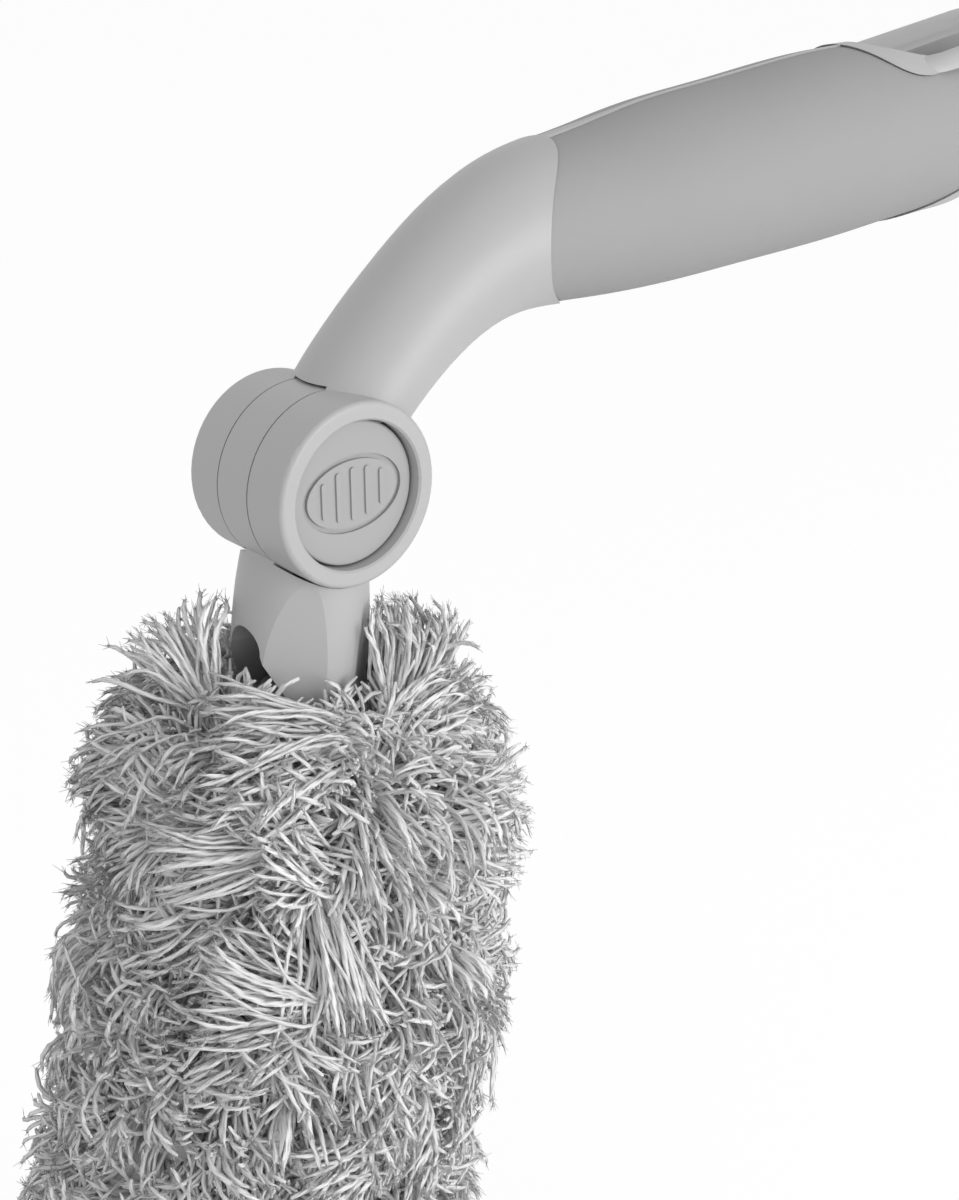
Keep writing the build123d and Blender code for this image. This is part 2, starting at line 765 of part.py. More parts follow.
def tuft(row, ring, turn):
    """One tuft of a ring, from inside the dense yarn to the yarn's outline."""
    top, bottom = row_limits(row)
    share = (ring + 1 / 2) / rings_per_row
    seat = (yarn_lip + tuft_root_width / 2, top + share * (bottom - top))
    end = outline_point((row + share) / row_count)
    length = sqrt((end[0] - seat[0]) ** 2 + (end[1] - seat[1]) ** 2)
    start_share = dense_share - tuft_root_depth / length
    start = (seat[0] + start_share * (end[0] - seat[0]), seat[1] + start_share * (end[1] - seat[1]))
    return strand(tuft_corner(start, turn), tuft_corner(end, turn + tuft_skew))


def strand(first, last):
    """A four-sided strand that widens from its root to its end."""
    direction = last - first
    root = Plane(origin=first, z_dir=direction) * Rectangle(tuft_root_width, tuft_root_width)
    tip = Plane(origin=last, z_dir=direction) * Rectangle(tuft_tip_width, tuft_tip_width)
    return loft([root, tip], ruled=True)


def tuft_corner(point, turn):
    return Vector(point[0] * cos(radians(turn)), point[0] * sin(radians(turn)), -point[1])


def tip_tufts():
    """Tufts that fan down and out from the dense yarn under the core."""
    tufts = []
    for place in range(tip_tuft_count):
        turn = place * 360 / tip_tuft_count
        first = tuft_corner((tuft_root_width, sleeve_end + tuft_root_width), turn)
        tufts.append(strand(first, tuft_corner((tip_tuft_spread, head_end), turn + tuft_skew)))
    return tufts


def yarn_row(row):
    step = 360 / tufts_per_ring
    tufts = []
    for ring in range(rings_per_row):
        shift = (row * rings_per_row + ring) % 2 / 2
        for place in range(tufts_per_ring):
            tufts.append(tuft(row, ring, (place + shift) * step))
    if row == row_count - 1:
        tufts += tip_tufts()
    return dense_ring(row).fuse(*tufts)


def in_hand(piece):
    """Moves a piece from the pivot's frame to the hand's."""
    place = grip_centre / handle_length
    for first, second in zip(section_shares, section_shares[1:]):
        if first[0] <= place <= second[0]:
            share = (place - first[0]) / (second[0] - first[0])
            height = handle_rise * (first[1] + share * (second[1] - first[1]))
    return piece.moved(Location((-grip_centre, 0, -height)))


def leaned(piece):
    """Turns a piece of the head from hanging straight to its stored lean."""
    return piece.rotate(Axis.Y, head_lean)


def build():
    blank = handle_blank()
    fixed = {
        "handle_shell_front": [front_shell(blank)],
        "handle_shell_rear": [rear_shell(blank)],
        "grip_pad_front": [grip_pad(-1)],
        "grip_pad_rear": [grip_pad(1)],
        "push_button": [push_button()],
        "pivot_bolt": [pivot_bolt()],
        "pivot_washer": [pivot_washer()],
        "retaining_ring": [retaining_ring()],
        "hub_cap": [hub_cap()],
        "shell_screws": shell_screws(),
    }
    tilting = {
        "lock_gear": [lock_gear()],
        "lock_spring": [lock_spring()],
        "head_socket": [head_socket()],
        "core_stem": [core_stem()],
        "core_tube": [core_tube()],
        "tip_plug": [tip_plug()],
        "yarn_sleeve": [yarn_sleeve()],
        "sleeve_band": [sleeve_band()],
    }
    for row in range(row_count):
        tilting["yarn_row_" + str(row + 1)] = [yarn_row(row)]
    for name, pieces in tilting.items():
        fixed[name] = [leaned(piece) for piece in pieces]
    return fixed


def write(pieces_by_name):
    os.makedirs("parts", exist_ok=True)
    for name, pieces in pieces_by_name.items():
        placed = [in_hand(piece) for piece in pieces]
        solids = [solid for piece in placed for solid in piece.solids()]
        whole = Compound(children=solids) if len(solids) > 1 else solids[0]
        export_step(whole, "parts/" + name + ".step")
        print(name, len(solids), round(sum(solid.volume for solid in solids), 1))


write(build())
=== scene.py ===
import json
import math

import bmesh
import bpy
import numpy as np
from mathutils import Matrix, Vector


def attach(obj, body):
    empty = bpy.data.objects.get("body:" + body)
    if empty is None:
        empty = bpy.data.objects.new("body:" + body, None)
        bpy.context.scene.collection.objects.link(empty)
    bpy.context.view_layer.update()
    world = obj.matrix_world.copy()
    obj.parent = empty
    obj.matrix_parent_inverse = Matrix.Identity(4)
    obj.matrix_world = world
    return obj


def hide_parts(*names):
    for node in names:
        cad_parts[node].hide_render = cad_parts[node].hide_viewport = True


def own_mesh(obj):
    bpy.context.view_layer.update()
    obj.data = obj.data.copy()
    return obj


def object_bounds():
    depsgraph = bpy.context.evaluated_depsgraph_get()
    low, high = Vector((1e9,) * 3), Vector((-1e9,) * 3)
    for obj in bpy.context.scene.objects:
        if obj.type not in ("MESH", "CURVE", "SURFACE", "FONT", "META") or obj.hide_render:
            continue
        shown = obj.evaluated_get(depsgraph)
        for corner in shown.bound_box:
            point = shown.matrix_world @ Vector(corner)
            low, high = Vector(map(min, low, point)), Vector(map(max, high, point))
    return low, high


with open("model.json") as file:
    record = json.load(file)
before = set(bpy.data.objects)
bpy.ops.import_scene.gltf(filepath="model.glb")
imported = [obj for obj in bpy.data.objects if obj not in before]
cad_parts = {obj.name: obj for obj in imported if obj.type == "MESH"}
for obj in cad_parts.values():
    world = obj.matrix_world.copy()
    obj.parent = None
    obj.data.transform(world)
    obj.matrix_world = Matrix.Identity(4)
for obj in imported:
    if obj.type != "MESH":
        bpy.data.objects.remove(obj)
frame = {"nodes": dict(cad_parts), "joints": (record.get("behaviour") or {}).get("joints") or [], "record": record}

# A cobweb brush: curved grip with rubber panels, tilting hub with a push button,
# and a yarn head. Metres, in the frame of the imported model.

cad_low, cad_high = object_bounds()
mm = 0.001

# The photograph's view
camera_place = (-0.267671, -0.223336, 0.062028)
camera_azimuth = -42.01
camera_elevation = 24.23
camera_lens = 51.749
camera_sensor = 36.0
camera_near = 0.01
camera_far = 60.0

# Places that the frame gives
hinge = next(joint for joint in frame["joints"] if joint["name"] == "head_tilt")
pivot = np.array(hinge["pos_m"])

# The yarn head, about the pivot, hanging straight down before its lean
head_lean = math.radians(6.6)
head_radius = 42.6 * mm
crown_place = 69.0 * mm       # below this the head is a full round column
crown_radius = 40.0 * mm
crown_fade = 105.0 * mm       # where the column reaches its full radius
crown_power = 2.35            # squarer than a dome, so the top stays broad
bulge_pitch = 42.0 * mm       # the yarn stands in soft bulges down the head
bulge_peak = 90.0 * mm
bulge_height = 1.2 * mm
crown_shift = 2.0 * mm        # the yarn hangs forward of its core at the top
belly_shift = -4.4 * mm       # and behind it lower down
belly_place = (82.0 * mm, 135.0 * mm, 150.0 * mm, 190.0 * mm)
foot_place = 185.0 * mm       # below this it closes in a dome
collar_radius = 13.5 * mm     # clear space round the socket
collar_end = 62.0 * mm
core_depth = 10.5 * mm        # dense yarn lies this far inside the surface
core_lump = 1.2 * mm
core_rings = 14               # per row
core_sides = 96
core_lap = 0.0001             # the dense yarn reaches this far into the sleeve
core_painted_shade = -1.6              # painted shade: darker than any strand, so the gaps between locks read as shaded
sleeve_radius = 11.9 * mm
row_count = 8
seed = 20
profile_steps = 400
profile_halvings = 40
profile_top_steps = 60        # the first of them, where the side line still widens


def head_to_world(points):
    """Points of the straight head, about the pivot, as they lie in the frame."""
    c, s = math.cos(head_lean), math.sin(head_lean)
    x, y, z = points[..., 0], points[..., 1], points[..., 2]
    return np.stack([c * x + s * z, y, -s * x + c * z], axis=-1) + pivot


def smooth_step(low, high, value):
    """Rises from 0 at low to 1 at high, flat at both ends."""
    t = np.clip((value - low) / (high - low), 0, 1)
    return t * t * (3 - 2 * t)


def unit(vectors):
    """The same directions, each of length 1."""
    length = np.linalg.norm(vectors, axis=-1, keepdims=True)
    return vectors / np.maximum(length, 1e-12)


def dot(a, b):
    """How far each vector of a goes along its fellow in b."""
    return (a * b).sum(-1, keepdims=True)


def form_shift(s):
    """How far toward +X the yarn's middle lies from its core."""
    first, full, fade, last = belly_place
    swing = smooth_step(first, full, s)
    return (crown_shift * (1 - swing) + belly_shift * swing) * (1 - smooth_step(fade, last, s))


def yarn_form(points):
    """Height over the head's mean surface, and the direction away from it."""
    s = -points[..., 2]
    x, y = points[..., 0] - form_shift(s), points[..., 1]
    around = np.hypot(x, y)
    beyond = s - np.clip(s, crown_place, foot_place)
    draw = 1 - smooth_step(crown_place, crown_fade, s)
    bulge = bulge_height * np.cos(2 * math.pi * (s - bulge_peak) / bulge_pitch)
    radius = head_radius + bulge - (head_radius - crown_radius) * draw
    power = np.where(beyond < 0, crown_power, 2.0)
    size = (around ** power + np.abs(beyond) ** power) ** (1 / power)
    size = np.maximum(size, 1e-9)
    out = (around / size) ** (power - 1)
    along = np.sign(beyond) * (np.abs(beyond) / size) ** (power - 1)
    safe = np.maximum(around, 1e-9)
    away = np.stack([out * x / safe, out * y / safe, -along], axis=-1)
    return size - radius, unit(away)


def form_profile(inset):
    """The surface's side line from the collar to the foot, as (radius, place)."""
    line = []
    top = crown_place - (crown_radius - inset)
    bottom = foot_place + head_radius - inset
    for share in np.linspace(0, 1, profile_steps):
        s = top + (bottom - top) * (1 - math.cos(math.pi * share)) / 2
        low, high = 0.0, 2 * head_radius
        for _ in range(profile_halvings):
            middle = (low + high) / 2
            height, _ = yarn_form(np.array([[middle + form_shift(s), 0.0, -s]]))
            if height[0] < -inset:
                low = middle
            else:
                high = middle
        line.append((high, s))
    return np.array(line)


def arc_lengths(line):
    """How far along a line each of its points lies."""
    steps = np.linalg.norm(np.diff(line, axis=0), axis=1)
    return np.concatenate([[0], np.cumsum(steps)])


def mesh_piece(name, points, quads, triangles, body, smooth=True):
    """A new object from arrays of points, four-sided faces and three-sided faces."""
    mesh = bpy.data.meshes.new(name)
    mesh.vertices.add(len(points))
    mesh.vertices.foreach_set("co", points.astype(np.float32).ravel())
    corners = np.concatenate([quads.ravel(), triangles.ravel()]).astype(np.int32)
    starts = np.concatenate([np.arange(len(quads)) * 4,
                             len(quads) * 4 + np.arange(len(triangles)) * 3])
    mesh.loops.add(len(corners))
    mesh.loops.foreach_set("vertex_index", corners)
    mesh.polygons.add(len(starts))
    mesh.polygons.foreach_set("loop_start", starts.astype(np.int32))
    mesh.update(calc_edges=True)
    mesh.validate()
    mesh.polygons.foreach_set("use_smooth", np.full(len(starts), smooth))
    piece = bpy.data.objects.new(name, mesh)
    bpy.context.scene.collection.objects.link(piece)
    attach(piece, body)
    return piece


def point_attribute(piece, name, values):
    """Gives each point of a piece a number that its material can read."""
    layer = piece.data.attributes.new(name, "FLOAT", "POINT")
    layer.data.foreach_set("value", values.astype(np.float32))


# Locks of yarn: where they stand and how they lie
lock_spacing = 11.5 * mm
ring_spacing = 10.0 * mm
ring_fewest = 3
seat_scatter = 0.35           # of the spacing
root_inset = 11.5 * mm
root_spread = 2.3 * mm
lock_spray = 0.50             # how far a lock's strands fan out from its middle
lock_flatness = 0.6           # a lock is thinner than it is wide
lock_droop = 14.0             # per metre, bends a lock toward where it lies
drift_size = 1.1              # neighbouring locks lie much the same way
drift_pitch = 19.0 * mm
drift_turns = 2.2
lock_sweep = 1.3
lock_lean_range = (0.15, 1.35)
lock_level_range = (-4.8, 0.0)          # mm over the surface
lock_reach_range = (1.15, 1.65)
lock_length_range = (13.0 * mm, 22.5 * mm)
lock_spray_range = (0.6, 1.3)
lock_curl = 28.0

# Short locks under the surface
under_locks = 3               # for each one on it
under_strands = 12
under_steps = 5
under_lean_range = (0.2, 1.2)
under_level_range = (-6.5, -3.0)        # mm
under_length_range = (9.0, 14.0)        # mm
under_spray_range = (0.6, 1.0)
under_curl = 25.0

# The locks that stand out on the photographed side, in mm about the pivot
placed_strands = 56
placed_inset = 7.0 * mm       # a placed lock's root lies this far inside the surface
placed_rows = [
    # root, tip, level, length, curl, spray, share of the yarn's length
    ((-1.5, -18.5, -43.0), (-23.0, -10.0, -38.5), 1.5, 27.0, 8.0, 0.62, 0.01),
    ((-1.0, -19.5, -44.0), (-25.0, -15.0, -43.5), 2.5, 26.0, 6.0, 0.50, 0.01),
    ((-18.2, -31.2, -58.1), (-15.0, -39.5, -80.0), 2.0, 27.0, -6.0, 0.22, 0.20),
    ((-13.8, -35.1, -83.2), (-33.0, -27.0, -71.0), 2.0, 27.0, 10.0, 0.50, 0.32),
    ((-19.8, -28.0, -51.8), (-38.0, -16.5, -57.0), 1.5, 24.0, -8.0, 0.40, 0.12),
    ((7.0, -14.0, -45.0), (13.0, -13.0, -27.0), 6.0, 20.0, 8.0, 0.50, 0.01),
    ((13.0, -10.0, -46.0), (18.0, -12.0, -32.0), 4.0, 18.0, -8.0, 0.60, 0.02),
    ((4.0, -17.0, -50.0), (12.0, -22.0, -44.0), 2.0, 19.0, 6.0, 0.60, 0.02),
    ((-15.0, 2.0, -44.0), (-22.0, 8.0, -29.0), 5.0, 20.0, 8.0, 0.50, 0.02),
]

# Strands
strand_radius = 0.44 * mm
strand_radius_range = (0.8, 1.2)
strand_end_taper = 0.6
strand_sides = 3
strand_steps = 8
strands_per_lock = 25
strand_curl = 12.0
strand_level_range = (-1.4, 1.8)        # mm
strand_length_range = (0.72, 1.10)      # of its lock's length
strand_wave = 0.23            # how wavy a strand is
wave_pace_range = (0.7, 1.7)
turn_depth = 4.0 * mm         # a strand starts to lie over this far under its level
turn_most = 1.3
turn_share = 0.5
side_nudge = 0.0001           # keeps a direction from having no length
pole_nudge = 0.000001

# Frayed ends
fray_count = 6
fray_length = 2.4 * mm
fray_length_range = (0.45, 1.15)
fray_radius = 0.08 * mm
fray_taper = 0.4
fray_spread = 0.30
fray_start = 0.9 * mm         # a fibre starts this far inside the strand's end
fray_scatter = 0.14 * mm
fray_painted_light_reach = 22.0             # frayed ends get the painted light of a strand's end


def lock_seats(random):
    """Where locks of yarn show: a point on the form and the share of its length."""
    line = form_profile(0)
    lengths = arc_lengths(line)
    start = np.interp(collar_radius, line[:profile_top_steps, 0], lengths[:profile_top_steps])
    rings = int(round((lengths[-1] - start) / ring_spacing))
    seats = []
    for ring in range(rings):
        at = start + (ring + 0.5) * (lengths[-1] - start) / rings
        radius = np.interp(at, lengths, line[:, 0])
        place = np.interp(at, lengths, line[:, 1])
        count = max(ring_fewest, int(round(2 * math.pi * radius / lock_spacing)))
        turn = random.uniform(0, 2 * math.pi)
        for step in range(count):
            aside = random.uniform(-seat_scatter, seat_scatter)
            angle = turn + (step + aside) * 2 * math.pi / count
            down = place + random.uniform(-seat_scatter, seat_scatter) * ring_spacing
            middle = form_shift(down)
            seats.append((middle + radius * math.cos(angle), radius * math.sin(angle), -down,
                          (ring + 0.5) / rings))
    return np.array(seats)


def side_direction(normals, angles):
    """A direction along the surface: angle 0 runs down the head, 90 round it."""
    down = np.array([0.0, 0.0, -1.0]) + 0 * normals
    around = unit(np.cross(normals, down) + np.array([pole_nudge, 0, 0]))
    down = np.cross(around, normals)
    return down * np.cos(angles)[:, None] + around * np.sin(angles)[:, None]


def scattered_locks(random):
    """Root, heading, lie, curl, level and length of the locks all over the head."""
    seats = lock_seats(random)
    count = len(seats)
    height, normal = yarn_form(seats[:, :3])
    surface = seats[:, :3] - normal * height[:, None]
    round_head = np.arctan2(seats[:, 1], seats[:, 0])
    drift = drift_size * np.sin(seats[:, 2] / drift_pitch + drift_turns * round_head)
    sweep = drift + random.uniform(-lock_sweep, lock_sweep, count)
    lie = side_direction(normal, sweep)
    lean = random.uniform(*lock_lean_range, count)
    level = random.uniform(*lock_level_range, count) * mm
    heading = unit(normal + lie * lean[:, None])
    straight = (root_inset + level) * np.sqrt(1 + lean ** 2)
    reach = straight * random.uniform(*lock_reach_range, count)
    return {
        "root": surface - normal * root_inset,
        "heading": heading,
        "lie": lie,
        "curl": random.normal(0, lock_curl, count),
        "level": level,
        "length": np.clip(reach, *lock_length_range),
        "spray": lock_spray * random.uniform(*lock_spray_range, count),
        "share": seats[:, 3],
    }


def filling_locks(random):
    """Short locks that hide the dense yarn between the ones on the surface."""
    seats = np.concatenate([lock_seats(random) for _ in range(under_locks)])
    count = len(seats)
    height, normal = yarn_form(seats[:, :3])
    surface = seats[:, :3] - normal * height[:, None]
    lie = side_direction(normal, random.uniform(-math.pi, math.pi, count))
    return {
        "root": surface - normal * root_inset,
        "heading": unit(normal + lie * random.uniform(*under_lean_range, count)[:, None]),
        "lie": lie,
        "curl": random.normal(0, under_curl, count),
        "level": random.uniform(*under_level_range, count) * mm,
        "length": random.uniform(*under_length_range, count) * mm,
        "spray": random.uniform(*under_spray_range, count),
        "share": seats[:, 3],
    }


def lock_strands(locks, per_lock, steps, random):
    """Every strand's path: it starts in its lock's root and fans out from there."""
    owner = np.repeat(np.arange(len(locks["root"])), per_lock)
    count = len(owner)
    middle = locks["heading"][owner]
    _, n = yarn_form(locks["root"][owner])
    across = unit(np.cross(middle, n) + side_nudge)
    other = np.cross(middle, across) * lock_flatness
    turn = random.uniform(0, 2 * math.pi, count)
    out = np.sqrt(random.uniform(0, 1, count))
    side = (across * (out * np.cos(turn))[:, None] + other * (out * np.sin(turn))[:, None])
    point = locks["root"][owner] + side * root_spread
    heading = unit(middle + side * locks["spray"][owner, None])
    lie = locks["lie"][owner]
    curl = locks["curl"][owner] + random.normal(0, strand_curl, count)
    limit = locks["level"][owner] + random.uniform(*strand_level_range, count) * mm
    step = locks["length"][owner] * random.uniform(*strand_length_range, count) / steps
    wave_axis = unit(random.normal(0, 1, (count, 3)))
    wave_phase = random.uniform(0, 2 * math.pi, count)
    wave_pace = random.uniform(*wave_pace_range, count)
    path = [point]
    for index in range(steps):
        height, n = yarn_form(point)
        near = np.clip((height - limit + turn_depth) / turn_depth, 0, turn_most)
        outward = np.maximum(dot(heading, n)[:, 0], 0)
        heading = unit(heading - n * (outward * near * turn_share)[:, None])
        pull = lie - heading * dot(heading, lie)
        bend = pull * lock_droop + curl[:, None] * np.cross(n, heading)
        wave = wave_axis * (strand_wave * np.sin(wave_phase + wave_pace * index))[:, None]
        heading = unit(heading + bend * step[:, None] + wave)
        point = clear_of_collar(point + heading * step[:, None])
        path.append(point)
    return np.stack(path, axis=1), owner


def placed_locks():
    """The locks that stand out on the photographed side."""
    root = np.array([row[0] for row in placed_rows]) * mm
    tip = np.array([row[1] for row in placed_rows]) * mm
    level, length, curl, spray, share = np.array([row[2:] for row in placed_rows]).T
    height, normal = yarn_form(root)
    root = root - normal * (height + placed_inset)[:, None]
    toward = unit(tip - root)
    return {
        "root": root,
        "heading": toward,
        "lie": toward,
        "curl": curl,
        "level": level * mm,
        "length": length * mm,
        "spray": spray,
        "share": share,
    }


def clear_of_collar(points):
    """Keeps strands out of the socket."""
    around = np.hypot(points[:, 0], points[:, 1])
    near = (-points[:, 2] < collar_end) & (around < collar_radius)
    grow = np.where(near, collar_radius / np.maximum(around, 1e-6), 1.0)
    moved = points.copy()
    moved[:, 0] *= grow
    moved[:, 1] *= grow
    return moved


def tubes(paths, radii, sides, turn):
    """Closed tubes round many paths: points, four-sided faces and end caps."""
    count, rings = paths.shape[:2]
    tangent = np.empty_like(paths)
    tangent[:, 1:-1] = paths[:, 2:] - paths[:, :-2]
    tangent[:, 0] = paths[:, 1] - paths[:, 0]
    tangent[:, -1] = paths[:, -1] - paths[:, -2]
    tangent = unit(tangent)
    side = unit(np.cross(tangent[:, 0], turn))
    points = np.empty((count, rings, sides, 3))
    for ring in range(rings):
        t = tangent[:, ring]
        side = unit(side - t * dot(side, t))
        other = np.cross(t, side)
        for corner in range(sides):
            angle = 2 * math.pi * corner / sides
            points[:, ring, corner] = paths[:, ring] + radii[:, ring, None] * (
                side * math.cos(angle) + other * math.sin(angle))
    index = np.arange(count * rings * sides).reshape(count, rings, sides)
    following = np.roll(index, -1, axis=2)
    quads = np.stack([index[:, :-1], following[:, :-1], following[:, 1:], index[:, 1:]],
                     axis=-1).reshape(-1, 4)
    caps = np.concatenate([index[:, 0, ::-1], index[:, -1]])
    return points.reshape(-1, 3), quads, caps


def tube_map(paths, sides):
    """How far along its strand each point of a tube lies."""
    steps = np.linalg.norm(np.diff(paths, axis=1), axis=2)
    far = np.concatenate([np.zeros((len(paths), 1)), np.cumsum(steps, axis=1)], axis=1)
    return np.repeat(far[:, :, None], sides, axis=2).ravel()


def frayed_ends(paths, random):
    """Thin fibres that spread from the end of each strand."""
    count = len(paths)
    end = paths[:, -1]
    tangent = unit(paths[:, -1] - paths[:, -2])
    made = []
    for _ in range(fray_count):
        spread = unit(tangent + random.normal(0, fray_spread, (count, 3)))
        start = end - tangent * fray_start + random.normal(0, fray_scatter, (count, 3))
        length = fray_length * random.uniform(*fray_length_range, (count, 1))
        made.append(np.stack([start, start + spread * length], axis=1))
    return np.concatenate(made)


def strand_map(paths, sides):
    """Round and along each strand, for the corners of its faces."""
    far = tube_map(paths, sides).reshape(len(paths), paths.shape[1], sides)[:, :, 0] / mm
    around = np.arange(sides + 1) / sides
    count, rings = far.shape
    corners = np.empty((count, rings - 1, sides, 4, 2))
    for corner, (ring, turn) in enumerate(((0, 0), (0, 1), (1, 1), (1, 0))):
        corners[..., corner, 0] = around[turn:sides + turn]
        corners[..., corner, 1] = far[:, ring:rings - 1 + ring, None]
    return corners.reshape(-1, 2)


def yarn_head():
    """The yarn in rows: locks on the surface, and short locks and dense yarn behind."""
    random = np.random.default_rng(seed)
    material = twisted_yarn()
    scattered = scattered_locks(random)
    placed = placed_locks()
    under = filling_locks(random)
    on_top, owner = lock_strands(scattered, strands_per_lock, strand_steps, random)
    stand_out, placed_owner = lock_strands(placed, placed_strands, strand_steps, random)
    on_top = np.concatenate([on_top, stand_out])
    top_row = row_of(np.concatenate([scattered["share"][owner], placed["share"][placed_owner]]))
    short, under_owner = lock_strands(under, under_strands, under_steps, random)
    short_row = row_of(under["share"][under_owner])
    for row in range(row_count):
        number = str(row + 1)
        mine = on_top[top_row == row]
        fray = frayed_ends(mine, random)
        parts = [strand_part(mine, random), fray_part(fray, random)]
        yarn_piece("yarn_tufts_" + number, parts, row, material)
        parts = [strand_part(short[short_row == row], random), dense_yarn(row, random)]
        yarn_piece("yarn_filling_" + number, parts, row, material)


def row_of(share):
    """The row that a share of the yarn's length falls in, from 0."""
    return np.minimum((share * row_count).astype(int), row_count - 1)


def strand_part(paths, random):
    """Strands of yarn, each with its own thickness and shade."""
    count, rings = paths.shape[:2]
    radii = np.full((count, rings), strand_radius)
    radii = radii * random.uniform(*strand_radius_range, (count, 1))
    radii[:, -1] *= strand_end_taper
    points, quads, caps = tubes(paths, radii, strand_sides, random.normal(0, 1, (count, 3)))
    tone = np.repeat(random.uniform(0, 1, count), rings * strand_sides)
    return points, quads, caps, strand_map(paths, strand_sides), tone


def fray_part(paths, random):
    """The fibres at the strands' ends, in the lightest random tone and with the painted light of a strand's end.
    """
    count = len(paths)
    radii = np.tile(np.array([1.0, fray_taper]) * fray_radius, (count, 1))
    points, quads, caps = tubes(paths, radii, strand_sides, random.normal(0, 1, (count, 3)))
    corners = strand_map(paths, strand_sides)
    corners[:, 1] += fray_painted_light_reach
    return points, quads, caps, corners, np.full(len(points), 1.0)


def yarn_piece(name, parts, row, material):
    """One object from several parts, each given as points, faces, map and shade."""
    offset = 0
    quads = []
    caps = []
    for points, part_quads, part_caps, _, _ in parts:
        quads.append(part_quads + offset)
        caps.append(part_caps + offset)
        offset += len(points)
    points = np.concatenate([part[0] for part in parts])
    caps = np.concatenate(caps)
    corners = np.concatenate([part[3] for part in parts] + [np.zeros((len(caps) * 3, 2))])
    piece = mesh_piece(name, head_to_world(points), np.concatenate(quads), caps, "head")
    point_attribute(piece, "strand_tone_and_painted_shade", np.concatenate([part[4] for part in parts]))
    piece.data.uv_layers.new(name="strand").uv.foreach_set(
        "vector", corners.astype(np.float32).ravel())
    piece.data.materials.append(material)
    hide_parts("yarn_row_" + str(row + 1))


def dense_yarn(row, random):
    """One row's share of the dense yarn: a closed ring under the strands, darkened as painted shade."""
    line = form_profile(core_depth)
    line = line[line[:, 0] > sleeve_radius]
    lengths = arc_lengths(line)
    shares = np.linspace(row / row_count, (row + 1) / row_count, core_rings)
    radius = np.interp(shares * lengths[-1], lengths, line[:, 0])
    place = np.interp(shares * lengths[-1], lengths, line[:, 1])
    angle = np.arange(core_sides) * 2 * math.pi / core_sides
    lump = random.normal(0, core_lump, (core_rings, core_sides))
    lump[0] = lump[-1] = 0
    middle = form_shift(place)[:, None]
    outer = np.stack([middle + (radius[:, None] + lump) * np.cos(angle),
                      (radius[:, None] + lump) * np.sin(angle),
                      -place[:, None] + 0 * lump], axis=-1)
    inner_radius = np.full(2, sleeve_radius - core_lap)
    inner_place = np.array([place[-1], place[0]])
    inner = np.stack([inner_radius[:, None] * np.cos(angle),
                      inner_radius[:, None] * np.sin(angle),
                      -inner_place[:, None] + 0 * angle], axis=-1)
    grid = np.concatenate([outer, inner])
    total = len(grid)
    index = np.arange(total * core_sides).reshape(total, core_sides)
    below = np.roll(index, -1, axis=0)
    quads = np.stack([index, below, np.roll(below, -1, axis=1), np.roll(index, -1, axis=1)],
                     axis=-1).reshape(-1, 4)
    no_caps = np.zeros((0, 3), dtype=int)
    # painted shade: the dense yarn's tone lies below every strand's
    tone = np.full(total * core_sides, core_painted_shade)
    return grid.reshape(-1, 3), quads, no_caps, np.zeros((len(quads) * 4, 2)), tone


# Materials
shell_level = 0.46
button_level = 0.39
rubber_level = 0.35
grain_detail = 3.0
cloud_detail = 4.0
moulded_finishes = {
    # slot: level, grain scale, grain depth, roughness, spread of shade, specular level
    "shell_plastic": (shell_level, 1500.0, 0.006 * mm, (0.40, 0.52), 0.03, 0.5),
    "button_plastic": (button_level, 1500.0, 0.006 * mm, (0.40, 0.52), 0.03, 0.5),
    "grip_rubber": (rubber_level, 2600.0, 0.020 * mm, (0.62, 0.78), 0.04, 0.35),
    "gear_plastic": (0.70, 1200.0, 0.004 * mm, (0.35, 0.45), 0.03, 0.5),
    "core_plastic": (0.28, 1500.0, 0.006 * mm, (0.45, 0.60), 0.03, 0.5),
    "sleeve_cloth": (0.42, 900.0, 0.15 * mm, (0.85, 0.95), 0.03, 0.5),
    "band_elastic": (0.46, 900.0, 0.10 * mm, (0.85, 0.95), 0.03, 0.5),
    "steel": (0.60, 900.0, 0.004 * mm, (0.30, 0.42), 0.03, 0.5),
    "spring_steel": (0.45, 900.0, 0.004 * mm, (0.25, 0.35), 0.03, 0.5),
}
metals = ("steel", "spring_steel")

# Yarn's shades, added up and then times its level: painted shade that is darkest at a strand's root and fades
# along it, painted shade in the ply grooves, and random tone
yarn_level = 0.94
root_painted_shade = 0.80             # painted shade: a strand is darkest at its root, deep in the yarn
painted_light_per_mm = 0.004           # painted light: lighter for each mm along the strand, away from the shaded root
painted_light_reach_most = 24.0
own_shade = 0.12              # between the darkest strand and the lightest; it also scales the dense yarn's painted shade
# painted shade: the ply grooves darker in colour, the plies between them lighter
ply_groove_painted_shade = 0.04
ply_count = 2.0
ply_depth = 0.08 * mm
twist_pitch = 3.4             # mm
yarn_roughness = 0.92
yarn_specular = 0.15
yarn_sheen = 0.6
yarn_sheen_roughness = 0.45


def shader_group(name, inputs, outputs):
    """An empty node group with named inputs, each with its value, and outputs."""
    group = bpy.data.node_groups.new(name, "ShaderNodeTree")
    for label, kind, value in inputs:
        socket = group.interface.new_socket(label, in_out="INPUT", socket_type=kind)
        socket.default_value = value
    for label, kind in outputs:
        group.interface.new_socket(label, in_out="OUTPUT", socket_type=kind)
    return group


def add_node(tree, kind, **settings):
    node = tree.nodes.new(kind)
    for label, value in settings.items():
        setattr(node, label, value)
    return node


def math_node(tree, operation, first, second):
    """A math node whose inputs are sockets or numbers."""
    node = add_node(tree, "ShaderNodeMath", operation=operation)
    for socket, value in zip(node.inputs, (first, second)):
        if isinstance(value, (int, float)):
            socket.default_value = value
        else:
            tree.links.new(value, socket)
    return node.outputs[0]


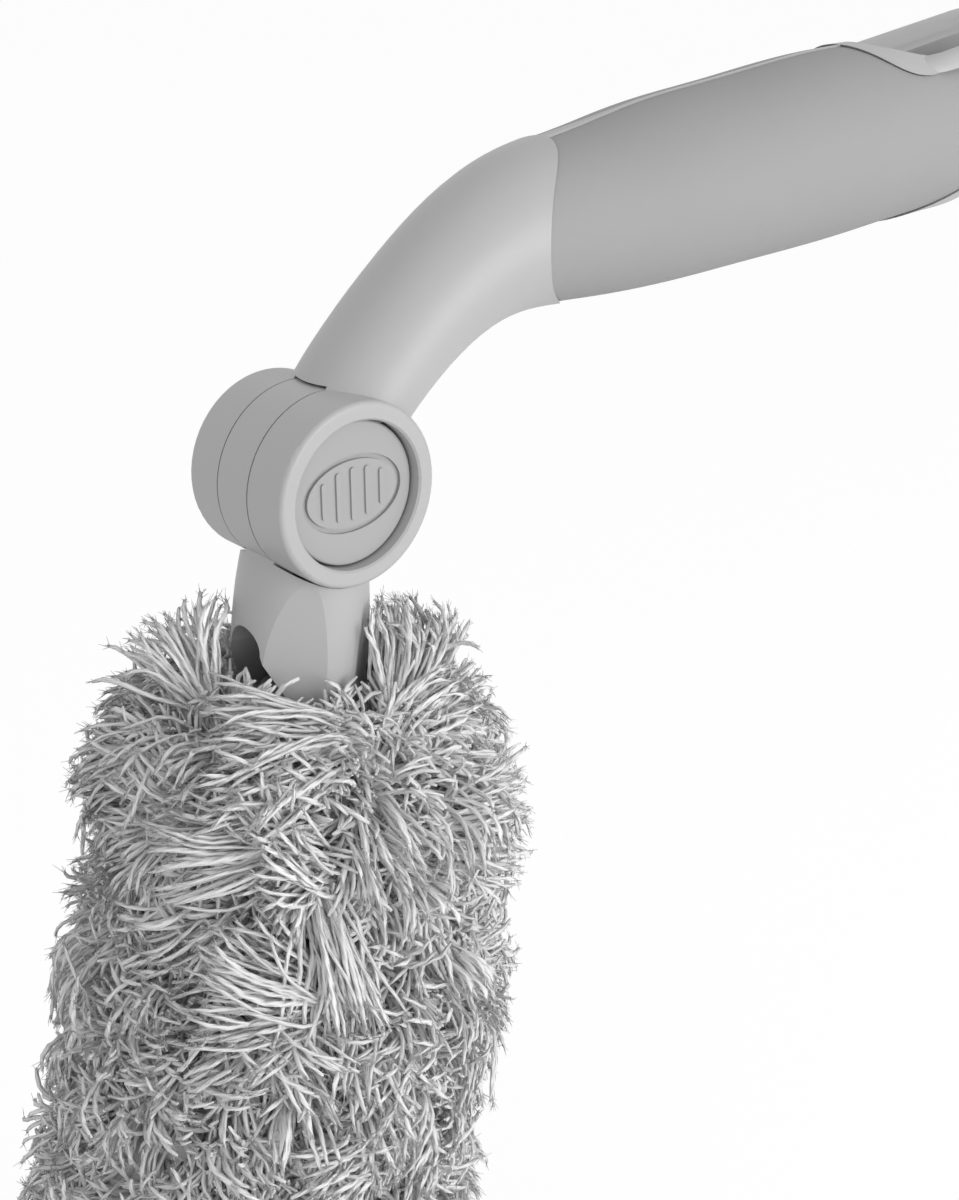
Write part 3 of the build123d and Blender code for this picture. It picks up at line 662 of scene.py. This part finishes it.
def moulded_grain():
    """Fine moulded grain: a height, a roughness and a slight change of shade."""
    group = shader_group("moulded_grain", [
        ("Grain Scale", "NodeSocketFloat", 1600.0),
        ("Cloud Scale", "NodeSocketFloat", 40.0),
        ("Shade Spread", "NodeSocketFloat", 0.03),
        ("Rough Low", "NodeSocketFloat", 0.38),
        ("Rough High", "NodeSocketFloat", 0.50),
    ], [("Height", "NodeSocketFloat"), ("Roughness", "NodeSocketFloat"),
        ("Shade", "NodeSocketFloat")])
    given = add_node(group, "NodeGroupInput")
    result = add_node(group, "NodeGroupOutput")
    place = add_node(group, "ShaderNodeTexCoord")
    grain = add_node(group, "ShaderNodeTexNoise")
    grain.inputs["Detail"].default_value = grain_detail
    cloud = add_node(group, "ShaderNodeTexNoise")
    cloud.inputs["Detail"].default_value = cloud_detail
    for noise, label in ((grain, "Grain Scale"), (cloud, "Cloud Scale")):
        group.links.new(place.outputs["Object"], noise.inputs["Vector"])
        group.links.new(given.outputs[label], noise.inputs["Scale"])
    group.links.new(grain.outputs["Fac"], result.inputs["Height"])
    spread = math_node(group, "SUBTRACT", given.outputs["Rough High"],
                       given.outputs["Rough Low"])
    rough = math_node(group, "MULTIPLY", spread, cloud.outputs["Fac"])
    rough = math_node(group, "ADD", rough, given.outputs["Rough Low"])
    group.links.new(rough, result.inputs["Roughness"])
    shade = math_node(group, "SUBTRACT", cloud.outputs["Fac"], 0.5)
    shade = math_node(group, "MULTIPLY", shade, given.outputs["Shade Spread"])
    shade = math_node(group, "MULTIPLY", shade, 2.0)
    shade = math_node(group, "ADD", shade, 1.0)
    group.links.new(shade, result.inputs["Shade"])
    return group


def new_material(name):
    """A new material, its node tree and its shader."""
    material = bpy.data.materials.new(name)
    material.use_nodes = True
    return material, material.node_tree, material.node_tree.nodes["Principled BSDF"]


def shaded_colour(tree, shade, colour):
    """A plain colour times a shade that changes over the surface."""
    mix = add_node(tree, "ShaderNodeMix", data_type="RGBA", blend_type="MULTIPLY")
    mix.inputs["Factor"].default_value = 1.0
    mix.inputs["A"].default_value = (*colour, 1.0)
    tree.links.new(shade, mix.inputs["B"])
    return mix.outputs["Result"]


def moulded(name, group, level, grain_scale, grain_depth, rough, spread, specular):
    """A grey finish with fine grain: moulded plastic, rubber, plain cloth or metal."""
    material, tree, shader = new_material(name)
    grain = add_node(tree, "ShaderNodeGroup", node_tree=group)
    grain.inputs["Grain Scale"].default_value = grain_scale
    grain.inputs["Shade Spread"].default_value = spread
    grain.inputs["Rough Low"].default_value = rough[0]
    grain.inputs["Rough High"].default_value = rough[1]
    colour = shaded_colour(tree, grain.outputs["Shade"], (level, level, level))
    tree.links.new(colour, shader.inputs["Base Color"])
    tree.links.new(grain.outputs["Roughness"], shader.inputs["Roughness"])
    bump = add_node(tree, "ShaderNodeBump")
    bump.inputs["Strength"].default_value = 1.0
    bump.inputs["Distance"].default_value = grain_depth
    tree.links.new(grain.outputs["Height"], bump.inputs["Height"])
    tree.links.new(bump.outputs["Normal"], shader.inputs["Normal"])
    shader.inputs["Specular IOR Level"].default_value = specular
    return material


def twisted_yarn():
    """Two-ply yarn: a spiral groove along each strand, with painted shade in the groove, matt and a little fuzzy.
    """
    material, tree, shader = new_material("twisted_yarn")
    place = add_node(tree, "ShaderNodeUVMap", uv_map="strand")
    split = add_node(tree, "ShaderNodeSeparateXYZ")
    tree.links.new(place.outputs["UV"], split.inputs[0])
    tone = add_node(tree, "ShaderNodeAttribute", attribute_name="strand_tone_and_painted_shade")
    around = math_node(tree, "MULTIPLY", split.outputs["X"], ply_count)
    along = math_node(tree, "DIVIDE", split.outputs["Y"], twist_pitch)
    turns = math_node(tree, "ADD", around, along)
    wave = math_node(tree, "SINE", math_node(tree, "MULTIPLY", turns, 2 * math.pi), 0.0)
    # painted shade in the ply grooves, lighter on the plies
    ply = math_node(tree, "MULTIPLY", wave, ply_groove_painted_shade)
    # the tone attribute holds each strand's random tone and the dense yarn's painted shade
    own = math_node(tree, "MULTIPLY", tone.outputs["Fac"], own_shade)
    # painted shade: dark at the strand's root, lighter along it up to a limit
    reach = math_node(tree, "MINIMUM", split.outputs["Y"], painted_light_reach_most)
    reach = math_node(tree, "MULTIPLY", reach, painted_light_per_mm)
    shade = math_node(tree, "ADD", ply, own)
    shade = math_node(tree, "ADD", shade, reach)
    shade = math_node(tree, "ADD", shade, root_painted_shade)
    tree.links.new(shaded_colour(tree, shade, (yarn_level,) * 3), shader.inputs["Base Color"])
    bump = add_node(tree, "ShaderNodeBump")
    bump.inputs["Distance"].default_value = ply_depth
    tree.links.new(wave, bump.inputs["Height"])
    tree.links.new(bump.outputs["Normal"], shader.inputs["Normal"])
    shader.inputs["Roughness"].default_value = yarn_roughness
    shader.inputs["Specular IOR Level"].default_value = yarn_specular
    shader.inputs["Sheen Weight"].default_value = yarn_sheen
    shader.inputs["Sheen Roughness"].default_value = yarn_sheen_roughness
    return material


def finishes():
    """Gives every CAD node that shows the material of its slot."""
    grain = moulded_grain()
    made = {}
    for slot, values in moulded_finishes.items():
        made[slot] = moulded(slot, grain, *values)
        if slot in metals:
            shader = made[slot].node_tree.nodes["Principled BSDF"]
            shader.inputs["Metallic"].default_value = 1.0
    for part in frame["record"]["subparts"]:
        if part["material_slot"] in made:
            materials = frame["nodes"][part["node"]].data.materials
            materials.clear()
            materials.append(made[part["material_slot"]])


# The lock's spring
weld_gap = 0.001 * mm


def lock_spring_wire():
    """The spring under the gear (the real one shortens as the gear slides toward it): a copy of its CAD mesh with
    its points welded, carried with the head.
    """
    wire = frame["nodes"]["lock_spring"].copy()
    wire.data = wire.data.copy()
    wire.name = "lock_spring_wire"
    bpy.context.scene.collection.objects.link(wire)
    shape = bmesh.new()
    shape.from_mesh(wire.data)
    bmesh.ops.remove_doubles(shape, verts=shape.verts, dist=weld_gap)
    shape.to_mesh(wire.data)
    shape.free()
    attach(wire, "head")
    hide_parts("lock_spring")
    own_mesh(wire)


# Floor, light and camera
floor_drop = 20.0 * mm
floor_size = 24.0
floor_level = 0.86
floor_glow = 1.07
floor_glow_share = 0.82       # of what the camera sees of the floor
world_level = 0.62
lamp_aim = (-0.05, 0, -0.08)
lamps = [
    # name, place, size, power
    ("key", (0.30, -1.20, 0.10), 0.8, 9.0),
    ("side", (-0.9, -0.5, 0.5), 1.0, 1.2),
]


def seen_directly(tree):
    """1 where the camera looks straight or by a reflection, 0 for other light."""
    path = add_node(tree, "ShaderNodeLightPath")
    return math_node(tree, "MAXIMUM", path.outputs["Is Camera Ray"],
                     path.outputs["Is Glossy Ray"])


def floor():
    """A plain pale floor under the brush."""
    bpy.ops.object.select_all(action="DESELECT")
    low = cad_low.z - floor_drop
    bpy.ops.mesh.primitive_plane_add(size=floor_size, location=(0, 0, low))
    plane = bpy.context.object
    plane.name = "floor"
    material = bpy.data.materials.new("floor_white")
    material.use_nodes = True
    tree = material.node_tree
    tree.nodes.clear()
    out = add_node(tree, "ShaderNodeOutputMaterial")
    matt = add_node(tree, "ShaderNodeBsdfDiffuse")
    matt.inputs["Color"].default_value = (floor_level, floor_level, floor_level, 1)
    glow = add_node(tree, "ShaderNodeEmission")
    glow.inputs["Strength"].default_value = floor_glow
    share = math_node(tree, "MULTIPLY", seen_directly(tree), floor_glow_share)
    mix = add_node(tree, "ShaderNodeMixShader")
    tree.links.new(share, mix.inputs["Fac"])
    tree.links.new(matt.outputs[0], mix.inputs[1])
    tree.links.new(glow.outputs[0], mix.inputs[2])
    tree.links.new(mix.outputs[0], out.inputs["Surface"])
    plane.data.materials.append(material)


def soft_lamp(name, place, size, power):
    """A square lamp that faces the brush."""
    direction = Vector(lamp_aim) - Vector(place)
    data = bpy.data.lights.new(name, "AREA")
    data.shape = "SQUARE"
    data.size = size
    data.energy = power
    lamp = bpy.data.objects.new(name, data)
    lamp.location = place
    lamp.rotation_euler = direction.to_track_quat("-Z", "Y").to_euler()
    bpy.context.scene.collection.objects.link(lamp)


def light():
    """A pale studio all round, and two soft lamps."""
    world = bpy.data.worlds.new("studio")
    bpy.context.scene.world = world
    world.use_nodes = True
    tree = world.node_tree
    back = tree.nodes["Background"]
    back.inputs["Color"].default_value = (1, 1, 1, 1)
    strength = math_node(tree, "MULTIPLY", seen_directly(tree), 1.0 - world_level)
    strength = math_node(tree, "ADD", strength, world_level)
    tree.links.new(strength, back.inputs["Strength"])
    for lamp in lamps:
        soft_lamp(*lamp)


def camera():
    """The camera at the photograph's place and angle."""
    data = bpy.data.cameras.new("view")
    data.lens = camera_lens
    data.sensor_width = camera_sensor
    data.clip_start = camera_near
    data.clip_end = camera_far
    seat = bpy.data.objects.new("view", data)
    seat.location = camera_place
    seat.rotation_euler = (math.radians(90 - camera_elevation), 0, math.radians(camera_azimuth))
    bpy.context.scene.collection.objects.link(seat)
    bpy.context.scene.camera = seat
    bpy.context.scene.view_settings.view_transform = "Standard"


camera()
light()
floor()
finishes()
lock_spring_wire()
yarn_head()
